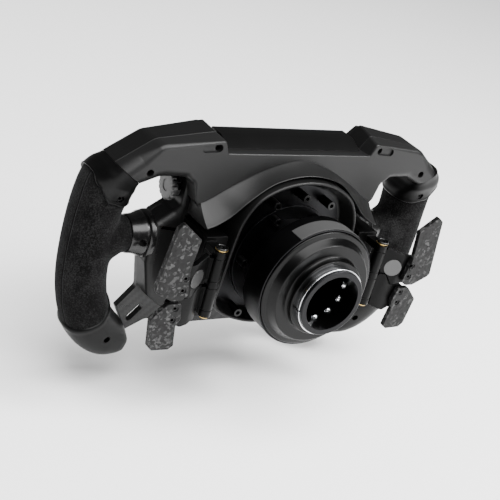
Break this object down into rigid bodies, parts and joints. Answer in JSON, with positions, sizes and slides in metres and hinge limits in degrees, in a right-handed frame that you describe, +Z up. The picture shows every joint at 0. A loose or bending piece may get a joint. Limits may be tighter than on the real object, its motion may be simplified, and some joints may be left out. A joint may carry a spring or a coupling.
{
  "type": "racing wheel",
  "caption": "Formula-style sim racing wheel with suede grips, hinged shift and clutch paddles, thumb wheels, front buttons and a ball-lock quick release.",
  "frame": {"origin": "centre of the quick release's bore at its mouth, on the steering axis", "axes": "+Y out of the bore, away from the driver; +Z up; +X to the driver's right"},
  "size_m": [0.2978, 0.1163, 0.1758],
  "materials": {
    "satin_black_plastic": "satin moulded, fine grain",
    "dark_grey_shell": "satin paint over moulded plastic",
    "face_carbon": "woven carbon-fibre plate, satin lacquer",
    "suede": "brushed microfibre suede",
    "forged_carbon": "chopped carbon flakes, satin lacquer",
    "anodised_black": "black anodised, turned",
    "anodised_grey": "bead-blasted and anodised",
    "blank_strip": "pale satin print, left blank",
    "chrome": "polished",
    "black_steel": "black oxide",
    "spring_steel": "drawn wire",
    "brass": "turned",
    "magnet": "nickel plated, matt",
    "display_glass": "tinted cover glass",
    "light_lens": "frosted",
    "board_green": "solder mask",
    "button_rubber": "soft touch"
  },
  "bodies": {
    "wheel": {"ball_sleeve": "anodised_black", "branch_collars": "anodised_black", "collar_spring": "spring_steel", "contact_block": "satin_black_plastic", "display_bezel": "satin_black_plastic", "display_glass": "display_glass", "face_plate": "face_carbon", "front_housing": "satin_black_plastic", "grip_cores": "satin_black_plastic", "grip_wrap_left": "suede", "grip_wrap_right": "suede", "hinge_bushings": "brass", "hinge_pins": "black_steel", "housing_screws": "black_steel", "hub_housing": "satin_black_plastic", "hub_plate": "anodised_black", "hub_screws": "black_steel", "id_band": "blank_strip", "light_bar": "light_lens", "locking_balls": "chrome", "lower_cap_left": "satin_black_plastic", "lower_cap_right": "satin_black_plastic", "main_board": "board_green", "paddle_bracket_left": "anodised_grey", "paddle_bracket_right": "anodised_grey", "quick_release_body": "anodised_black", "quick_release_flange": "anodised_black", "quick_release_neck": "anodised_black", "rear_shell": "dark_grey_shell", "snap_ring": "chrome", "swoosh_trim": "dark_grey_shell", "top_band": "satin_black_plastic", "upper_cap_left": "satin_black_plastic", "upper_cap_right": "satin_black_plastic"},
    "shift_paddle_right": {"shift_arm_right": "anodised_grey", "shift_blade_right": "forged_carbon", "shift_magnet_right": "magnet", "shift_screws_right": "black_steel"},
    "clutch_paddle_right": {"clutch_arm_right": "anodised_grey", "clutch_blade_right": "forged_carbon", "clutch_screws_right": "black_steel"},
    "thumb_wheel_right": {"thumb_wheel_right": "anodised_grey"},
    "shift_paddle_left": {"shift_arm_left": "anodised_grey", "shift_blade_left": "forged_carbon", "shift_magnet_left": "magnet", "shift_screws_left": "black_steel"},
    "clutch_paddle_left": {"clutch_arm_left": "anodised_grey", "clutch_blade_left": "forged_carbon", "clutch_screws_left": "black_steel"},
    "thumb_wheel_left": {"thumb_wheel_left": "anodised_grey"},
    "release_collar": {"release_collar": "anodised_grey"},
    "button_1_right": {"button_1_right": "button_rubber"},
    "button_1_left": {"button_1_left": "button_rubber"},
    "button_2_right": {"button_2_right": "button_rubber"},
    "button_2_left": {"button_2_left": "button_rubber"},
    "button_3_right": {"button_3_right": "button_rubber"},
    "button_3_left": {"button_3_left": "button_rubber"},
    "knob_left": {"knob_left": "anodised_grey"},
    "knob_centre": {"knob_centre": "anodised_grey"},
    "knob_right": {"knob_right": "anodised_grey"}
  },
  "joints": [
    {"name": "shift_pull_right", "type": "hinge", "parent": "wheel", "child": "shift_paddle_right", "pos_m": [0.0673, -0.0415, 0], "axis": [0, 0, 1], "range_deg": [-6, 0], "stiffness_Nm_per_rad": 1.5, "springref_deg": 6.88},
    {"name": "clutch_pull_right", "type": "hinge", "parent": "wheel", "child": "clutch_paddle_right", "pos_m": [0.0673, -0.0415, 0], "axis": [0, 0, 1], "range_deg": [-15, 0], "stiffness_Nm_per_rad": 0.8, "springref_deg": 14.32},
    {"name": "thumb_turn_right", "type": "hinge", "parent": "wheel", "child": "thumb_wheel_right", "pos_m": [0.08, -0.0967, 0.0382], "axis": [1, 0, 0], "continuous": true},
    {"name": "shift_pull_left", "type": "hinge", "parent": "wheel", "child": "shift_paddle_left", "pos_m": [-0.0673, -0.0415, 0], "axis": [0, 0, 1], "range_deg": [0, 6], "stiffness_Nm_per_rad": 1.5, "springref_deg": -6.88},
    {"name": "clutch_pull_left", "type": "hinge", "parent": "wheel", "child": "clutch_paddle_left", "pos_m": [-0.0673, -0.0415, 0], "axis": [0, 0, 1], "range_deg": [0, 15], "stiffness_Nm_per_rad": 0.8, "springref_deg": -14.32},
    {"name": "thumb_turn_left", "type": "hinge", "parent": "wheel", "child": "thumb_wheel_left", "pos_m": [-0.08, -0.0967, 0.0382], "axis": [1, 0, 0], "continuous": true},
    {"name": "release_slide", "type": "slide", "parent": "wheel", "child": "release_collar", "axis": [0, -1, 0], "range_m": [0, 0.006], "stiffness_N_per_m": 1500, "springref_m": -0.006, "deforming": ["collar_spring"]},
    {"name": "press_1_right", "type": "slide", "parent": "wheel", "child": "button_1_right", "axis": [0, 1, 0], "range_m": [0, 0.002], "stiffness_N_per_m": 400, "springref_m": -0.001},
    {"name": "press_1_left", "type": "slide", "parent": "wheel", "child": "button_1_left", "axis": [0, 1, 0], "range_m": [0, 0.002], "stiffness_N_per_m": 400, "springref_m": -0.001},
    {"name": "press_2_right", "type": "slide", "parent": "wheel", "child": "button_2_right", "axis": [0, 1, 0], "range_m": [0, 0.002], "stiffness_N_per_m": 400, "springref_m": -0.001},
    {"name": "press_2_left", "type": "slide", "parent": "wheel", "child": "button_2_left", "axis": [0, 1, 0], "range_m": [0, 0.002], "stiffness_N_per_m": 400, "springref_m": -0.001},
    {"name": "press_3_right", "type": "slide", "parent": "wheel", "child": "button_3_right", "axis": [0, 1, 0], "range_m": [0, 0.002], "stiffness_N_per_m": 400, "springref_m": -0.001},
    {"name": "press_3_left", "type": "slide", "parent": "wheel", "child": "button_3_left", "axis": [0, 1, 0], "range_m": [0, 0.002], "stiffness_N_per_m": 400, "springref_m": -0.001},
    {"name": "turn_left", "type": "hinge", "parent": "wheel", "child": "knob_left", "pos_m": [-0.038, -0.11, -0.038], "axis": [0, 1, 0], "continuous": true},
    {"name": "turn_centre", "type": "hinge", "parent": "wheel", "child": "knob_centre", "pos_m": [0, -0.11, -0.042], "axis": [0, 1, 0], "continuous": true},
    {"name": "turn_right", "type": "hinge", "parent": "wheel", "child": "knob_right", "pos_m": [0.038, -0.11, -0.038], "axis": [0, 1, 0], "continuous": true}
  ]
}
